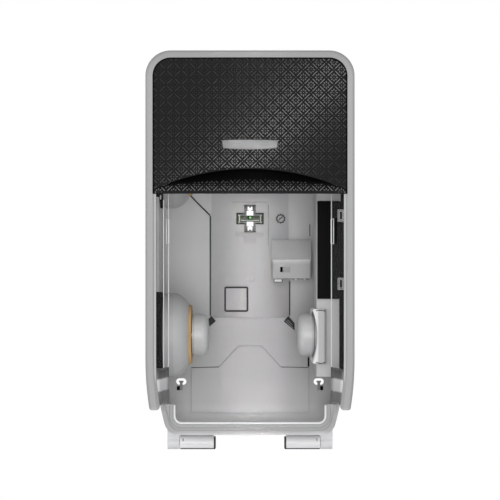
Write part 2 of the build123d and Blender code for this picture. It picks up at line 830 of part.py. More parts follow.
save("cover_shell", cover_shell())
save("faceplate", faceplate())
save("name_plate", name_plate())
save("left_guard", left_guard())
save("right_guard", mirrored(left_guard()))
save("snap_clips", snap_clips())
save("lock_body", lock_body())
save("lock_nut", lock_nut())
save("lock_plug", lock_plug())
save("lock_cam", lock_cam())
save("lock_keeper", lock_keeper())
save("back_housing", back_housing())
save("square_plug", square_plug())
save("level_frame", level_frame())
save("level_vial", level_vial())
save("key_box", key_box())
save("box_screws", box_screws())
save("release_button", release_button())
save("right_column", right_column())
save("column_screws", column_screws())
save("column_seal", column_seal())
save("transfer_slide", transfer_slide())
save("hinge_barrels", hinge_barrels())
save("hinge_pins", hinge_pins())
for level, hub_z in (("lower", lower_hub_z), ("upper", upper_hub_z)):
    save(level + "_dome", dome(hub_z))
    save(level + "_dome_gasket", dome_gasket(hub_z))
    save(level + "_brake_ring", brake_ring(hub_z))
    save(level + "_left_axle", left_axle(hub_z))
    save(level + "_left_hub", hub_solid(left_hub_back, 1, hub_z))
    save(level + "_cradle", cradle(hub_z))
    save(level + "_plunger", plunger(hub_z))
    save(level + "_plunger_spring", plunger_spring(hub_z))
    save(level + "_right_hub", right_hub(hub_z))
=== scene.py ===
import math
import bmesh
import bpy
from mathutils import Matrix, Vector


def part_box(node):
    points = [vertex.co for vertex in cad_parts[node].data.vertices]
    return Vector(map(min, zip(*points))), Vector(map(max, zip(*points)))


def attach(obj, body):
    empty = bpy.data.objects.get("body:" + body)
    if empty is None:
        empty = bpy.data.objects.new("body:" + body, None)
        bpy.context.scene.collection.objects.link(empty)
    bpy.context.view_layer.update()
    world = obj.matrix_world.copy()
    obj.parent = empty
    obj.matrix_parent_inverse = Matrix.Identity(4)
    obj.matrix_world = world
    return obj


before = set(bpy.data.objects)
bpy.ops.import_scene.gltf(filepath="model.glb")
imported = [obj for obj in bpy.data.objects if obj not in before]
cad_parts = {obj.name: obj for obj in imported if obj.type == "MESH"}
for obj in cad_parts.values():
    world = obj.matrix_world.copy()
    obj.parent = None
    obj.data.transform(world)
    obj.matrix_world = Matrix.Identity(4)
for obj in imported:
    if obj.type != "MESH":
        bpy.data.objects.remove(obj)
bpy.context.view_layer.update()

# ---- studio ---------------------------------------------------------------------
# The dispenser hangs in open air in front of a white surround, its front edge 1.5 m
# from the lens. A pale floor lies below the open cover, and soft lamps stand all round.
scene = bpy.context.scene
scene.view_settings.view_transform = "Standard"

camera_data = bpy.data.cameras.new("camera")
camera_data.sensor_width = 36.0
camera_data.lens = 124.1
camera = bpy.data.objects.new("camera", camera_data)
camera.location = (0.0, -1.679, 0.0)
camera.rotation_euler = (math.radians(90), 0, 0)
scene.collection.objects.link(camera)
scene.camera = camera


def seen_directly(tree):
    """A value of 1 for rays that show a background, and 0 for rays that light."""
    path = tree.nodes.new("ShaderNodeLightPath")
    most = path.outputs["Is Camera Ray"]
    for other in ("Is Glossy Ray", "Is Transmission Ray"):
        add = tree.nodes.new("ShaderNodeMath")
        add.operation = "MAXIMUM"
        tree.links.new(most, add.inputs[0])
        tree.links.new(path.outputs[other], add.inputs[1])
        most = add.outputs[0]
    return most


world = bpy.data.worlds.new("studio")
scene.world = world
world.use_nodes = True
sky = world.node_tree
sky.nodes.clear()
sky_out = sky.nodes.new("ShaderNodeOutputWorld")
sky_mix = sky.nodes.new("ShaderNodeMixShader")
sky_light = sky.nodes.new("ShaderNodeBackground")
sky_light.inputs["Color"].default_value = (0.95, 0.97, 1.0, 1)
sky_light.inputs["Strength"].default_value = 0.39
sky_shown = sky.nodes.new("ShaderNodeBackground")
sky_shown.inputs["Color"].default_value = (1, 1, 1, 1)
sky_shown.inputs["Strength"].default_value = 1.0
sky.links.new(seen_directly(sky), sky_mix.inputs[0])
sky.links.new(sky_light.outputs[0], sky_mix.inputs[1])
sky.links.new(sky_shown.outputs[0], sky_mix.inputs[2])
sky.links.new(sky_mix.outputs[0], sky_out.inputs["Surface"])

floor_z = -0.41                     # clear of the cover, which swings down to -0.39
floor_side, floor_near, floor_far = 1.2, -1.4, 0.3
floor_data = bpy.data.meshes.new("floor")
floor_data.from_pydata([(-floor_side, floor_near, floor_z), (floor_side, floor_near, floor_z),
                        (floor_side, floor_far, floor_z), (-floor_side, floor_far, floor_z)],
                       [], [(0, 1, 2, 3)])
floor = bpy.data.objects.new("floor", floor_data)
scene.collection.objects.link(floor)
floor_paint = bpy.data.materials.new("floor_paint")
floor_paint.use_nodes = True
floor_shader = floor_paint.node_tree.nodes["Principled BSDF"]
floor_shader.inputs["Base Color"].default_value = (0.8, 0.8, 0.8, 1)
floor_shader.inputs["Roughness"].default_value = 0.7
floor_data.materials.append(floor_paint)


def soft_lamp(name, where, aim, size, power):
    """A rectangular lamp of this width and height in metres, facing the aim, in watts."""
    lamp = bpy.data.lights.new(name, "AREA")
    lamp.shape = "RECTANGLE"
    lamp.size, lamp.size_y = size
    lamp.energy = power
    holder = bpy.data.objects.new(name, lamp)
    holder.location = where
    holder.rotation_euler = (Vector(aim) - Vector(where)).to_track_quat("-Z", "Y").to_euler()
    scene.collection.objects.link(holder)
    return lamp


soft_lamp("lamp_above", (0.0, -1.5, 1.3), (0, -0.05, 0), (1.2, 0.7), 4.5)
soft_lamp("lamp_left", (-1.5, -1.6, 0.2), (0, -0.08, 0), (0.5, 1.2), 7.0)
soft_lamp("lamp_right", (1.1, -2.0, 0.0), (0, -0.08, 0), (0.6, 1.2), 6.5)
soft_lamp("lamp_front", (0.0, -2.4, -0.05), (0, 0, 0), (0.8, 1.7), 20.2)
soft_lamp("lamp_low", (0.0, -1.6, -1.0), (0, 0, -0.1), (1.4, 0.5), 4.6)
strip = soft_lamp("lamp_strip", (0.004, -2.4, -0.05), (0.004, 0, -0.05), (0.03, 1.9), 0.062)
strip.spread = math.radians(2.2)    # a narrow sheet of light down the back plate's middle


# ---- back housing ---------------------------------------------------------------
# One injection-moulded tray in grey plastic, screwed to the wall: a back plate with a
# bowed centre panel, a rim all round and a deep cheek each side for the roll hubs.
# Its faces have the fine spark-eroded grain of the mould, with edges painted slightly lighter,
# partly wear and partly a painted edge highlight.
def node(tree, kind, **settings):
    """A new node, its inputs and then its own settings given by name."""
    made = tree.nodes.new(kind)
    for name, value in settings.items():
        if name in made.inputs:
            made.inputs[name].default_value = value
        else:
            setattr(made, name, value)
    return made


def plastic(name, colour, roughness=0.42, grain=0.00003, grain_size=0.0005, mottle=0.04,
            edge=0.10, edge_radius=0.00035, shine=0.5):
    """A moulded plastic: fine mould grain, faint flow mottling, and edges painted lighter, partly
    wear and partly a painted edge highlight.
    """
    paint = bpy.data.materials.new(name)
    paint.use_nodes = True
    tree = paint.node_tree
    shader = tree.nodes["Principled BSDF"]
    place = node(tree, "ShaderNodeTexCoord", name="place")
    flow = node(tree, "ShaderNodeTexNoise", name="flow", Scale=18.0, Detail=3.0, Roughness=0.6)
    fine = node(tree, "ShaderNodeTexNoise", Scale=1.0 / grain_size, Detail=2.0, Roughness=0.5)
    for part in (flow, fine):
        tree.links.new(place.outputs["Object"], part.inputs["Vector"])
    shades = node(tree, "ShaderNodeValToRGB", name="shades")
    low, high = shades.color_ramp.elements
    low.position, high.position = 0.3, 0.7
    low.color = (*[c * (1 - mottle) for c in colour], 1)
    high.color = (*[min(1.0, c * (1 + mottle)) for c in colour], 1)
    tree.links.new(flow.outputs["Fac"], shades.inputs["Fac"])
    round_edges = node(tree, "ShaderNodeBevel", samples=4, Radius=edge_radius)
    flat = node(tree, "ShaderNodeNewGeometry")
    match = node(tree, "ShaderNodeVectorMath", operation="DOT_PRODUCT")
    tree.links.new(round_edges.outputs["Normal"], match.inputs[0])
    tree.links.new(flat.outputs["True Normal"], match.inputs[1])
    # the edges' lighter colour is partly wear and partly a painted highlight where an edge catches
    # light
    # from 0 where the rounded normal is nearly the face's own, to the edge's share at a corner
    edge_wear_and_glint = node(tree, "ShaderNodeMapRange", **{
        "From Min": 0.98, "From Max": 0.75, "To Max": edge})
    tree.links.new(match.outputs["Value"], edge_wear_and_glint.inputs["Value"])
    lighten = node(tree, "ShaderNodeMix", data_type="RGBA")
    plain, worn_and_glint_colour = [socket for socket in lighten.inputs if socket.type == "RGBA"]
    mixed = next(socket for socket in lighten.outputs if socket.type == "RGBA")
    worn_and_glint_colour.default_value = (*[min(1.0, c * 1.5 + 0.05) for c in colour], 1)
    tree.links.new(edge_wear_and_glint.outputs["Result"], lighten.inputs[0])
    tree.links.new(shades.outputs["Color"], plain)
    tree.links.new(mixed, shader.inputs["Base Color"])
    gloss = node(tree, "ShaderNodeMapRange", **{
        "To Min": roughness - 0.05, "To Max": roughness + 0.05})
    tree.links.new(fine.outputs["Fac"], gloss.inputs["Value"])
    tree.links.new(gloss.outputs["Result"], shader.inputs["Roughness"])
    bump = node(tree, "ShaderNodeBump", Strength=0.6, Distance=grain)
    tree.links.new(fine.outputs["Fac"], bump.inputs["Height"])
    tree.links.new(round_edges.outputs["Normal"], bump.inputs["Normal"])
    tree.links.new(bump.outputs["Normal"], shader.inputs["Normal"])
    shader.inputs["Specular IOR Level"].default_value = shine
    return paint


def dress(material, *names):
    """Gives a CAD node's material slots another material."""
    for name in names:
        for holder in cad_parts[name].material_slots:
            holder.material = material


def grey(level):
    """A neutral shade from its display value, 0 to 255."""
    share = level / 255
    return (((share + 0.055) / 1.055) ** 2.4,) * 3


def mm(x, depth, z):
    """A point, from millimetres to the right, out from the wall and up."""
    return (x / 1000, -depth / 1000, z / 1000)


def settle(name, made, material, body):
    """Keeps a made object's final shape as a plain mesh with this material."""
    scene.collection.objects.link(made)
    ready = made.evaluated_get(bpy.context.evaluated_depsgraph_get())
    piece = bpy.data.objects.new(name, bpy.data.meshes.new_from_object(ready))
    scene.collection.objects.link(piece)
    bpy.data.objects.remove(made)
    piece.data.materials.clear()
    piece.data.materials.append(material)
    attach(piece, body)


def mesh_of(name, shape):
    """An object of a bmesh's shape, not yet settled."""
    mesh = bpy.data.meshes.new(name)
    shape.to_mesh(mesh)
    shape.free()
    return bpy.data.objects.new(name, mesh)


def wire(name, paths, radius, material, body, closed=False, sides=1):
    """Fine round beads along lists of points in millimetres."""
    curve = bpy.data.curves.new(name, "CURVE")
    curve.dimensions = "3D"
    curve.bevel_depth = radius / 1000
    curve.bevel_resolution = sides
    curve.use_fill_caps = True
    for points in paths:
        line = curve.splines.new("POLY")
        line.points.add(len(points) - 1)
        for spot, point in zip(line.points, points):
            spot.co = (*mm(*point), 1.0)
        line.use_cyclic_u = closed
    settle(name, bpy.data.objects.new(name + "_curve", curve), material, body)


def slabs(name, boxes, material, body):
    """Small blocks: (left, right, near, far, foot, top) in millimetres."""
    shape = bmesh.new()
    for left, right, near, far, foot, top in boxes:
        size = Matrix.Diagonal(((right - left) / 1000, (far - near) / 1000, (top - foot) / 1000, 1))
        middle = mm((left + right) / 2, (near + far) / 2, (foot + top) / 2)
        bmesh.ops.create_cube(shape, size=1.0, matrix=Matrix.Translation(middle) @ size)
    settle(name, mesh_of(name + "_blocks", shape), material, body)


def chips(name, outlines, near, far, material, body):
    """Flat chips from outlines of (x, z), between two depths in millimetres."""
    shape = bmesh.new()
    for outline in outlines:
        back = [shape.verts.new(mm(x, near, z)) for x, z in outline]
        front = [shape.verts.new(mm(x, far, z)) for x, z in outline]
        shape.faces.new(back)
        shape.faces.new(front[::-1])
        for spot in range(len(outline)):
            after = (spot + 1) % len(outline)
            shape.faces.new((back[spot], front[spot], front[after], back[after]))
    bmesh.ops.recalc_face_normals(shape, faces=shape.faces[:])
    settle(name, mesh_of(name + "_chips", shape), material, body)


def on_panel(x, z, lift):
    """A point on the bowed centre panel, lifted off it, all in millimetres."""
    bow_radius, crest_depth = 120.0, 9.0
    return (x, math.sqrt(bow_radius ** 2 - x * x) - bow_radius + crest_depth + lift, z)


def ring_on_panel(x, z, radius, lift):
    """Points round a circle on the bowed centre panel, in millimetres."""
    count = 28
    turns = [2 * math.pi * step / count for step in range(count)]
    return [on_panel(x + radius * math.cos(turn), z + radius * math.sin(turn), lift)
            for turn in turns]


def painted_light_bands(paint, stops, stir=0.004, along=(0, 0, 1)):
    """Paints light and shade into a plastic's colour, in soft bands along a direction: (place in mm,
    display shade).

    The plastic's slow mottling stirs the bands' edges by up to half of stir, in metres.
    """
    tree = paint.node_tree
    shades = tree.nodes["shades"]
    along_way = node(tree, "ShaderNodeVectorMath", operation="DOT_PRODUCT")
    along_way.inputs[1].default_value = along
    tree.links.new(tree.nodes["place"].outputs["Object"], along_way.inputs[0])
    stirred = node(tree, "ShaderNodeMath", operation="MULTIPLY_ADD")
    tree.links.new(tree.nodes["flow"].outputs["Fac"], stirred.inputs[0])
    stirred.inputs[1].default_value = stir
    tree.links.new(along_way.outputs["Value"], stirred.inputs[2])
    first, last = stops[0][0], stops[-1][0]
    reach = node(tree, "ShaderNodeMapRange", **{
        "From Min": first / 1000 + stir / 2, "From Max": last / 1000 + stir / 2})
    tree.links.new(stirred.outputs[0], reach.inputs["Value"])
    tree.links.new(reach.outputs["Result"], shades.inputs["Fac"])
    ramp = shades.color_ramp
    for count, (at, shade) in enumerate(stops):
        share = (at - first) / (last - first)
        stop = ramp.elements[count] if count < 2 else ramp.elements.new(share)
        stop.position = share
        stop.color = (*grey(shade), 1)
    return paint


# painted light: the housing is painted lighter at its foot and just under the faceplate, where the
# lamps leave it in shade, and darker across the middle
housing_painted_light = [(-165, 218), (-148, 186), (-120, 173), (-85, 173), (-60, 181), (-25, 189),
                 (10, 200), (52, 226), (120, 202)]
dress(painted_light_bands(plastic("housing_grey", grey(190), roughness=0.38), housing_painted_light), "back_housing")
satin_grey = plastic("satin_grey", grey(190), roughness=0.38)
dress(satin_grey, "square_plug")
crease_dark = plastic("crease_dark", grey(70), roughness=0.6, grain=0.0, shine=0.2)
crease_soft = plastic("crease_soft", grey(158), roughness=0.5, grain=0.0)
groove_grey = plastic("groove_grey", grey(88), roughness=0.6, grain=0.0, shine=0.2)
shadow_black = plastic("shadow_black", grey(10), roughness=0.8, grain=0.0, shine=0.05)

# the dark grooves, creases and soft outlines of the back plate: the dark strips and beads laid in
# them are painted shade
slabs("groove_floors", [
    (-39.15, -37.95, 0.7, 1.6, -64.0, 33.0),
    (37.95, 39.15, 0.7, 1.6, -64.0, -30.0),
], groove_grey, "housing")
wire("groove_head", [[(-38.9, 1.7, 33.6), (-58.6, 1.7, 53.4)]], 0.55, shadow_black, "housing")
wire("plate_creases", [
    [(-57.0, 3.1, -114.4), (-30.2, 3.1, -113.8)], [(30.2, 3.1, -113.8), (57.0, 3.1, -114.4)],
    [(58.2, 3.1, 25.0), (58.2, 3.1, 13.5)],
], 0.42, crease_dark, "housing")
wire("ramp_creases", [
    [(-30.2, 3.1, -113.8), (-11.1, 3.1, -93.2), (11.1, 3.1, -93.2), (30.2, 3.1, -113.8)],
], 0.42, crease_soft, "housing")
wire("plate_notch", [[(56.9, 3.1, -104.4), (56.9, 3.1, -113.4)]], 0.8, shadow_black, "housing")
wire("level_surround", [
    [on_panel(x, 46.4, 0.02) for x in range(-17, 18, 2)],
    [on_panel(17.8, z, 0.02) for z in (44.0, 4.0)],
], 0.3, crease_soft, "housing")
wire("faint_ring", [ring_on_panel(0, -26.0, 4.8, -0.12)], 0.35, satin_grey, "housing",
     closed=True)
foot_dark = plastic("foot_dark", grey(52), roughness=0.6, grain=0.0, shine=0.2)
chips("groove_feet", [
    [(-37.6, -63.9), (-33.1, -69.1), (-39.4, -74.5), (-40.3, -67.2)],
    [(37.3, -63.9), (43.3, -71.0), (43.5, -78.3), (32.8, -69.4)],
], 2.6, 3.12, foot_dark, "housing")
wire("groove_foot_ribs", [
    [(36.4, 3.15, -68.0), (38.9, 3.15, -70.5)], [(38.8, 3.15, -70.4), (41.3, 3.15, -72.9)],
    [(34.6, 3.15, -68.6), (42.0, 3.15, -76.0)],
], 0.3, crease_soft, "housing")
plug_outline = [
    (-23.2, -36.3), (-20.0, -36.3), (-14.0, -36.3), (-8.0, -36.3), (-3.2, -36.3), (-2.4, -37.1),
    (-2.4, -58.3), (-3.2, -59.1), (-8.0, -59.1), (-14.0, -59.1), (-20.0, -59.1), (-23.2, -59.1),
    (-24.0, -58.3), (-24.0, -37.1)]
wire("plug_rim", [[on_panel(x, z, -0.3) for x, z in plug_outline]], 1.0, crease_dark, "housing",
     closed=True)

# two low pads under the spirit level
slabs("plate_pads", [(-14.2, 13.2, 8.0, 9.15, 12.8, 16.8), (-6.2, 6.3, 8.0, 9.25, 6.0, 12.8)],
      plastic("pad_grey", grey(193), roughness=0.5), "housing")

# the moulder's plain date ring, an arrow inside a circle with short ticks round it, its lines drawn
# dark as painted shade of their low relief
date_x, date_z, date_lift = 29.7, 30.4, 0.05
wire("date_ring", [ring_on_panel(date_x, date_z, 3.7, date_lift)], 0.6, crease_dark, "housing",
     closed=True)
tick_count, tick_ends = 10, (3.9, 4.8)
strokes = []
for step in range(tick_count):
    turn = 2 * math.pi * step / tick_count + 0.3
    strokes.append([(reach * math.cos(turn), reach * math.sin(turn)) for reach in tick_ends])
strokes += [[(-1.9, -1.9), (0.2, 0.3), (-1.4, 0.2)], [(0.2, 0.3), (2.0, 2.0)]]
date_marks = [[on_panel(date_x + x, date_z + z, date_lift) for x, z in stroke]
              for stroke in strokes]
wire("date_marks", date_marks, 0.5, crease_dark, "housing")

# the hooks in the two lower screw slots, with a dark slab beside the foot of each as its painted
# shadow
hook_grey = plastic("hook_grey", grey(130), roughness=0.4, grain=0.0)
hooks, hook_shadow_slabs = [], []
for side in (-1, 1):
    middle = side * 66.8            # the middle of a screw slot
    hooks.append((middle - 2.2, middle + 2.2, 3.4, 5.6, -128.6, -127.0))
    hooks.append((middle - 1.3, middle + 1.3, 3.4, 5.6, -136.0, -128.6))
    low, high = sorted((middle + side * 1.3, middle + side * 4.2))
    hook_shadow_slabs.append((low, high, 3.05, 4.4, -136.2, -132.4))
slabs("slot_hooks", hooks, hook_grey, "housing")
slabs("hook_shadows", hook_shadow_slabs, shadow_black, "housing")

# ---- key box --------------------------------------------------------------------
# A small grey box on the back plate, its front sloping up to the plate, held by two
# plated screws. The release button shows through its window and ends in a thumb tab.
# painted light: the box is painted lighter on its sloping top than on its front
box_painted_light = [(-28, 190), (-14, 192), (-11.5, 212), (-8.5, 238), (10, 234)]
dress(painted_light_bands(plastic("box_grey", grey(200), roughness=0.42), box_painted_light, 0.001), "key_box")
dress(plastic("button_grey", grey(170), roughness=0.38), "release_button")
slabs("window_shadow", [(28.9, 31.4, 22.2, 22.75, -21.2, -16.2)], shadow_black, "button")
# painted shade round the thumb tab's edge, and painted light: a pale slab over its face
wire("tab_outline", [[(23.1, 28.9, -27.9), (23.1, 28.9, -30.7), (30.8, 28.9, -30.7),
                      (30.8, 28.9, -27.9)]], 0.4, crease_dark, "button")
slabs("tab_face", [(23.5, 30.4, 28.4, 29.25, -30.3, -28.3)],
      plastic("tab_pale", grey(232), roughness=0.4), "button")
# painted shadow: a dark bead under the box's front
wire("box_underline", [[(31.4, 27.6, -27.3), (57.6, 27.6, -27.3)]], 0.35, crease_dark,
     "housing")


def plated(name, colour, roughness):
    """Plated steel with fine random scratches."""
    scratch = 0.08                  # how far they move the roughness, up and down
    metal = bpy.data.materials.new(name)
    metal.use_nodes = True
    tree = metal.node_tree
    shader = tree.nodes["Principled BSDF"]
    place = node(tree, "ShaderNodeTexCoord")
    stretch = node(tree, "ShaderNodeMapping", Scale=(900.0, 900.0, 9000.0))
    lines = node(tree, "ShaderNodeTexNoise", Scale=1.0, Detail=3.0)
    tree.links.new(place.outputs["Object"], stretch.inputs["Vector"])
    tree.links.new(stretch.outputs["Vector"], lines.inputs["Vector"])
    gloss = node(tree, "ShaderNodeMapRange", **{
        "To Min": roughness - scratch, "To Max": roughness + scratch})
    tree.links.new(lines.outputs["Fac"], gloss.inputs["Value"])
    tree.links.new(gloss.outputs["Result"], shader.inputs["Roughness"])
    bump = node(tree, "ShaderNodeBump", Strength=0.3, Distance=0.00001)
    tree.links.new(lines.outputs["Fac"], bump.inputs["Height"])
    tree.links.new(bump.outputs["Normal"], shader.inputs["Normal"])
    shader.inputs["Base Color"].default_value = (*colour, 1)
    shader.inputs["Metallic"].default_value = 1.0
    return metal


steel = plated("plated_steel", (0.62, 0.62, 0.63), 0.28)
dress(steel, "box_screws", "column_screws")

# ---- spirit level ---------------------------------------------------------------
# A cross-shaped dark green frame in the back plate holds a clear green vial, level
# across, and leaves the upright hanging slot open above and below it.
def speckled(paint, size):
    """Turns a plastic's slow mottling into specks of this size in metres."""
    paint.node_tree.nodes["flow"].inputs["Scale"].default_value = 1 / size
    return paint


level_green = plastic("level_green", (0.022, 0.042, 0.022), roughness=0.4, grain=0.00001,
                      mottle=0.9, shine=0.15)
vial_green = plastic("vial_green", (0.17, 0.20, 0.15), roughness=0.25, grain=0.0, mottle=0.55,
                     shine=0.2)
dress(speckled(level_green, 0.0012), "level_frame")
dress(speckled(vial_green, 0.0018), "level_vial")

# the frame's arms beside the hanging slot and across its two ends
arm_faces = [(-5.5, -3.2, 34.2, 43.5), (-5.5, -3.2, 17.3, 26.6), (3.2, 5.5, 34.2, 43.5),
             (3.2, 5.5, 17.3, 26.6), (-5.5, 5.5, 42.0, 43.5), (-5.5, 5.5, 17.3, 18.8)]
arms = [(left, right, 10.0, 10.35, foot, top) for left, right, foot, top in arm_faces]
arm_green = plastic("level_speckled", grey(112), roughness=0.35, grain=0.0, mottle=0.85)
slabs("level_arms", arms, speckled(arm_green, 0.0013), "housing")

# moulded break-out fingers across the hanging slot, above and below the vial
fingers = []
for end, inner, tip in ((42.1, 38.2, 40.4), (18.7, 22.6, 20.4)):
    fingers += [[(-1.3, end), (1.3, end), (0.0, tip)],
                [(-3.3, end), (-2.3, end), (-2.5, inner), (-3.3, inner)],
                [(3.3, end), (2.3, end), (2.5, inner), (3.3, inner)]]
    fingers += [[(side * 3.3, inner + 0.35), (side * 0.9, inner + 0.2), (side * 0.9, inner - 0.2),
                 (side * 3.3, inner - 0.35)] for side in (-1, 1)]
chips("level_fingers", fingers, 8.6, 9.6, crease_dark, "housing")

# the vial's bright ends and edge, its darker middle and its bubble
pale = plastic("bracket_pale", grey(252), roughness=0.3, grain=0.0)
bracket = [(11.2, 33.5), (10.2, 33.0), (10.2, 26.8), (11.2, 26.3)]
brackets = [[(side * x, 10.8, z) for x, z in bracket] for side in (-1, 1)]
wire("level_brackets", brackets, 0.6, pale, "housing")
wire("level_lines", [[(-8.6, 10.9, 28.7), (8.6, 10.9, 28.7)]], 0.45, pale, "housing")
centre_green = plastic("centre_green", (0.008, 0.06, 0.008), roughness=0.4, grain=0.0, shine=0.1)
slabs("level_centre", [(-2.3, 2.3, 9.4, 11.1, 29.3, 33.4)], centre_green, "housing")
ball = bmesh.new()
bmesh.ops.create_uvsphere(ball, u_segments=16, v_segments=10, radius=0.0013,
                          matrix=Matrix.Translation(mm(0.3, 10.9, 31.3)))
settle("level_bubble", mesh_of("bubble_ball", ball),
       plastic("bubble_bright", (0.55, 0.95, 0.5), roughness=0.2, grain=0.0), "housing")

# ---- roll hubs ------------------------------------------------------------------
# Each left hub turns on a short axle in a domed carrier, against a tan felt ring that
# brakes it. Each right hub turns on a sprung plunger in a scooped carrier. Black
# gaskets by the domes and the column are painted shade, dark pieces set where deep shade
# falls between them and the cheeks.
dress(plastic("carrier_grey", grey(188), roughness=0.4), "lower_dome", "upper_dome")
dress(plastic("column_grey", grey(190), roughness=0.42), "right_column")
dress(plastic("felt_tan", (0.55, 0.36, 0.16), roughness=0.9, grain=0.00012,
              grain_size=0.0007, mottle=0.2, edge=0.0), "lower_brake_ring", "upper_brake_ring")
dress(plastic("hub_white", grey(197), roughness=0.32, grain=0.00001, mottle=0.015),
      "lower_left_hub", "upper_left_hub", "lower_right_hub", "upper_right_hub",
      "lower_plunger", "upper_plunger")
dress(steel, "lower_left_axle", "upper_left_axle", "lower_plunger_spring", "upper_plunger_spring")
# painted shade: the black gaskets and the column seal stand where deep shade falls beside the domes
# and the column
dress(plastic("gap_shade_black", grey(13), roughness=0.8, shine=0.03), "lower_dome_gasket",
      "upper_dome_gasket", "column_seal")
# painted light: each cradle's left edge is painted lighter than its front, as if lit from the left
cradle_painted_light = [(56.8, 246), (61.4, 226), (62.2, 182), (69.0, 182)]
cradle_grey = plastic("cradle_grey", grey(190), roughness=0.38)
dress(painted_light_bands(cradle_grey, cradle_painted_light, 0.0004, (1, 0, 0)), "lower_cradle", "upper_cradle")

# painted shade: dark beads in the creases at the top and foot of the lower cradle's scoop, and dark
# slabs at the seal's ends
wire("cradle_arcs", [
    [(59.7, 121.2, -55.0), (61.5, 121.2, -54.5), (64.2, 121.2, -54.6), (66.9, 121.2, -54.8),
     (68.1, 121.2, -55.7)],
    [(59.7, 121.2, -101.5), (61.5, 121.2, -102.1), (64.2, 121.2, -102.6), (66.4, 121.2, -102.1),
     (68.1, 121.2, -101.2)],
], 0.4, crease_dark, "housing")
slabs("seal_end_shades", [
    (80.95, 82.6, 116.05, 116.5, -113.0, 44.0), (82.0, 84.9, 118.2, 119.4, 25.3, 52.0),
], shadow_black, "housing")

# ---- transfer slide -------------------------------------------------------------
# A thin satin black slide between the two right hubs, moulded in one piece. It hangs in
# a track on the column and lifts a little in it.
dress(plastic("slide_black", grey(10), roughness=0.5, shine=0.04), "transfer_slide")

# ---- hinge ----------------------------------------------------------------------
# Two white barrels on the housing and a grey knuckle outside each on the cover turn
# on steel pins at the foot.
dress(plastic("barrel_white", grey(246), roughness=0.36), "hinge_barrels")
dress(steel, "hinge_pins")

# painted highlight and painted shadow along each barrel, a nick in it, and a dark disc for the
# painted shade in the gap at its inner end
bright, dark, nicks, end_gap_shades = [], [], [], []
for side in (-1, 1):
    bright.append([(side * x, 15.3, -187.2) for x in (67.2, 35.4)])
    dark.append([(side * x, 12.3, -192.0) for x in (67.4, 33.6)])
    nicks.append([(side * 64.6, 15.0, -181.9), (side * 64.6, 15.4, -184.6)])
    end_gap_shades.append([(side * x, 9.0, -186.3) for x in (34.98, 33.2)])
wire("barrel_lights", bright, 0.7, plated("barrel_gleam", (0.93, 0.93, 0.93), 0.4), "housing")
wire("barrel_shadows", dark, 0.6, shadow_black, "housing")
wire("barrel_ticks", nicks, 0.5, crease_soft, "housing")
wire("barrel_end_shades", end_gap_shades, 5.9, crease_dark, "housing", sides=6)

# ---- cover ----------------------------------------------------------------------
# One deep grey moulding: a rounded flange round the front, side and top walls drafted
# towards the wall, two legs beside the opening and a U-shaped tray at the foot.
# painted light and shade: the cover is painted lighter at its knuckles and the tray's foot and
# darker towards its top
cover_painted_light = [(-176, 230), (-171, 170), (-160, 168), (-145, 180), (-136, 154), (150, 154),
               (170, 140), (176, 140)]
dress(painted_light_bands(plastic("cover_grey", grey(152), roughness=0.44), cover_painted_light), "cover_shell")
# pale plastics for the painted highlights along the tray's rim and the legs' inner edges
rim_highlight = plastic("rim_highlight", grey(244), roughness=0.3, grain=0.0)
leg_edge_highlight = plastic("leg_edge_highlight", grey(206), roughness=0.3, grain=0.0)


def tray_path(side, foot, corner, depth, top):
    """Points down one side of the tray, along its foot and up the other side."""
    points = [(-side, depth, top)]
    middle_x, middle_z = corner - side, corner + foot
    for degrees in range(180, 271, 15):
        turn = math.radians(degrees)
        points.append((middle_x + corner * math.cos(turn), depth,
                       middle_z + corner * math.sin(turn)))
    return points + [(-x, depth, z) for x, depth, z in points[::-1]]


def leg_lines(x, depth):
    """An upright line down the inner edge of each leg."""
    return [[(side * x, depth, 48.4), (side * x, depth, -132.0)] for side in (-1, 1)]


# painted highlight: pale beads along the tray's raised rim and the legs' inner edges; painted shade:
# a darker crease beside each
wire("tray_bead", [tray_path(71.1, -163.2, 6.6, 54.5, -146.2)], 1.15, rim_highlight, "cover")
wire("tray_crease", [tray_path(75.9, -167.7, 11.0, 53.5, -147.0)], 0.45, crease_soft, "cover")
wire("leg_beads", leg_lines(82.7, 177.6), 0.6, leg_edge_highlight, "cover")
wire("leg_creases", leg_lines(84.9, 178.7), 0.4, crease_soft, "cover")

# ---- faceplate ------------------------------------------------------------------
# A gently bowed black plate, snapped into the surround, with an arched finger scoop at its
# foot; a dark bead round it is painted shade in the seam. Face and scoop are moulded with a
# lattice of short ribs, an eight-petalled rosette in each diamond and a small stud at each
# crossing.
face_black = plastic("face_black", grey(27), roughness=0.6, grain=0.00002, edge=0.05, shine=0.03)
# painted shade: the plate is painted darker the deeper it lies in the scoop
dress(painted_light_bands(face_black, [(-176.5, 33), (-172.5, 4)], 0.0, (0, 1, 0)), "faceplate")
rib_black = plastic("rib_black", grey(50), roughness=0.3, grain=0.0, mottle=0.06, edge=0.2,
                    edge_radius=0.0001, shine=0.2)
# painted highlight: the face's relief is painted lighter along a diagonal band rising to the right
painted_light_bands(rib_black, [(-185, 46), (-145, 64), (-115, 96), (-90, 126), (-70, 128), (-50, 96), (-30, 70),
                   (0, 38)], 0.0, (1, 0, -1))
scoop_black = plastic("scoop_black", grey(90), roughness=0.3, grain=0.0, shine=0.3)
# painted light and shade: the scoop's relief is painted lighter at its foot and dark under the arch
painted_light_bands(scoop_black, [(49, 150), (55, 108), (62, 30)], 0.001)

face_low, face_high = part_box("faceplate")
crown = 1.5                         # radius of the face's bow, in metres

